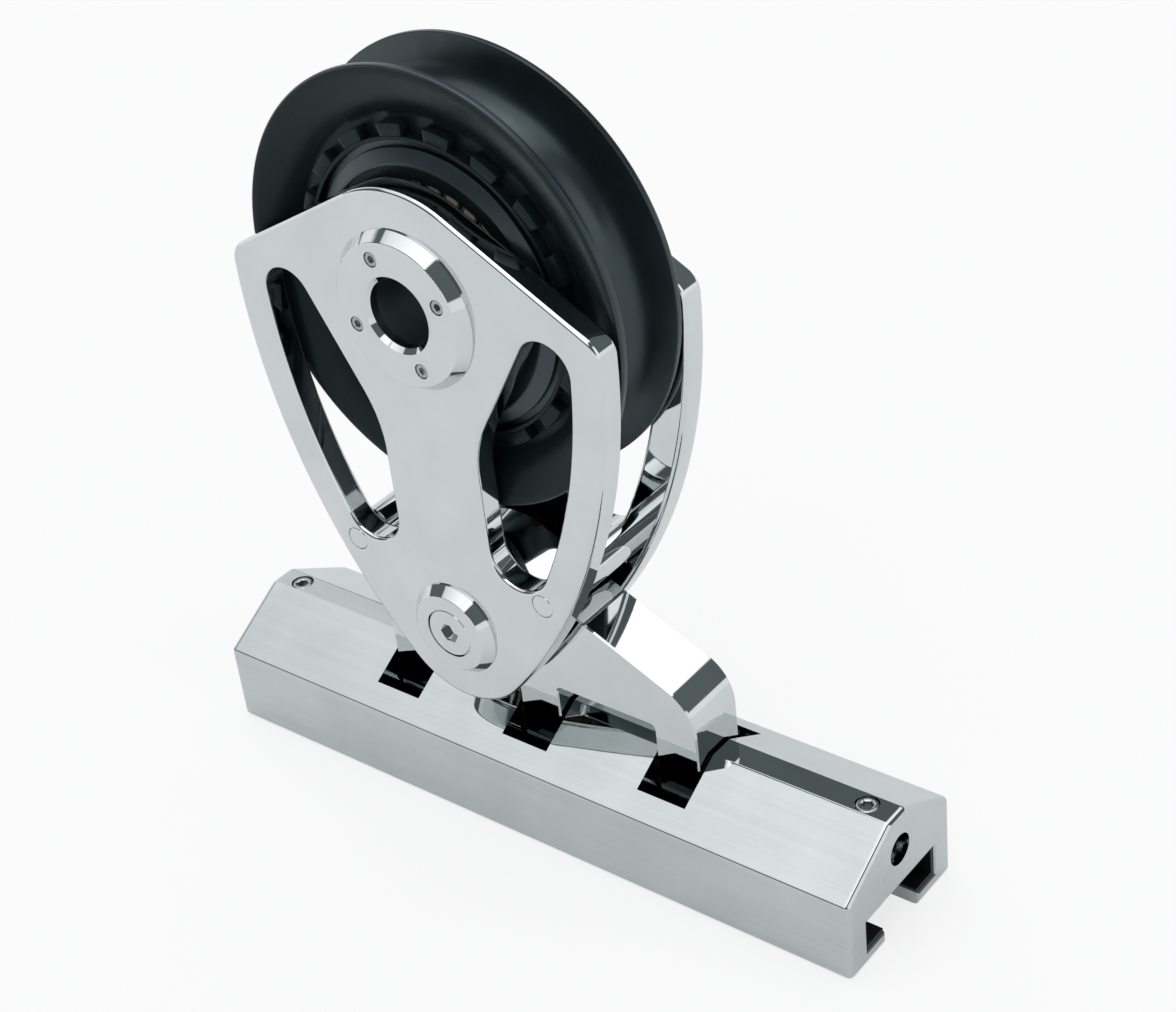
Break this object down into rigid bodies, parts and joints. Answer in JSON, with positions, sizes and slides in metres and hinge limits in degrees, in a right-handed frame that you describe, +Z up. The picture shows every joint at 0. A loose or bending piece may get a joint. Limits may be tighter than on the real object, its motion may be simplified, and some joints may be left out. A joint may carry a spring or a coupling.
{
  "type": "genoa sheet car",
  "caption": "Sheet lead car for a T-track: a polished slide with a hinged, leaning block that carries a grooved sheave on rollers.",
  "frame": {"origin": "middle of the car's underside", "axes": "+X along the track, +Y across it to the far side plate, +Z up through the sheave"},
  "size_m": [0.288, 0.066, 0.294],
  "materials": {
    "polished_steel": "mirror-polished stainless steel",
    "turned_steel": "turned stainless steel",
    "screw_steel": "stainless steel",
    "black_plastic": "low-friction plastic",
    "bronze": "turned bearing bronze",
    "black_anodised": "hard black anodised, satin",
    "brown_plastic": "moulded bearing plastic"
  },
  "bodies": {
    "car": {"car_body": "polished_steel", "near_slider": "black_plastic", "far_slider": "black_plastic", "hinge_pin": "turned_steel", "lock_screw_left": "screw_steel", "lock_screw_right": "screw_steel"},
    "bracket": {"swivel_bracket": "polished_steel", "hinge_bush_left": "bronze", "hinge_bush_centre": "bronze", "hinge_bush_right": "bronze", "near_pivot_bush": "bronze", "far_pivot_bush": "bronze"},
    "block": {"near_side_plate": "polished_steel", "far_side_plate": "polished_steel", "axle": "turned_steel", "near_axle_cap": "polished_steel", "far_axle_cap": "polished_steel", "near_cap_screws": "screw_steel", "far_cap_screws": "screw_steel", "left_tie_rod": "turned_steel", "right_tie_rod": "turned_steel", "pivot_pin": "turned_steel", "near_pivot_cap": "polished_steel", "far_pivot_cap": "polished_steel", "near_pivot_screw": "screw_steel", "far_pivot_screw": "screw_steel", "inner_race": "turned_steel"},
    "sheave_group": {"sheave": "black_anodised", "outer_race": "black_anodised"},
    "cage_group": {"roller_cage": "black_plastic", "rollers": "brown_plastic"}
  },
  "joints": [
    {"name": "side_swivel", "type": "hinge", "parent": "car", "child": "bracket", "pos_m": [0, 0, 0.0345], "axis": [1, 0, 0], "range_deg": [-35, 35]},
    {"name": "fore_aft_pivot", "type": "hinge", "parent": "bracket", "child": "block", "pos_m": [-0.021, 0, 0.085], "axis": [0, 1, 0], "range_deg": [-30, 10]},
    {"name": "sheave_spin", "type": "hinge", "parent": "block", "child": "sheave_group", "pos_m": [-0.021, 0, 0.214], "axis": [0, 1, 0], "continuous": true},
    {"name": "cage_spin", "type": "hinge", "parent": "block", "child": "cage_group", "pos_m": [-0.021, 0, 0.214], "axis": [0, 1, 0], "continuous": true}
  ],
  "couplings": [
    {"joint": "cage_spin", "follows": "sheave_spin", "ratio": 0.5452}
  ]
}
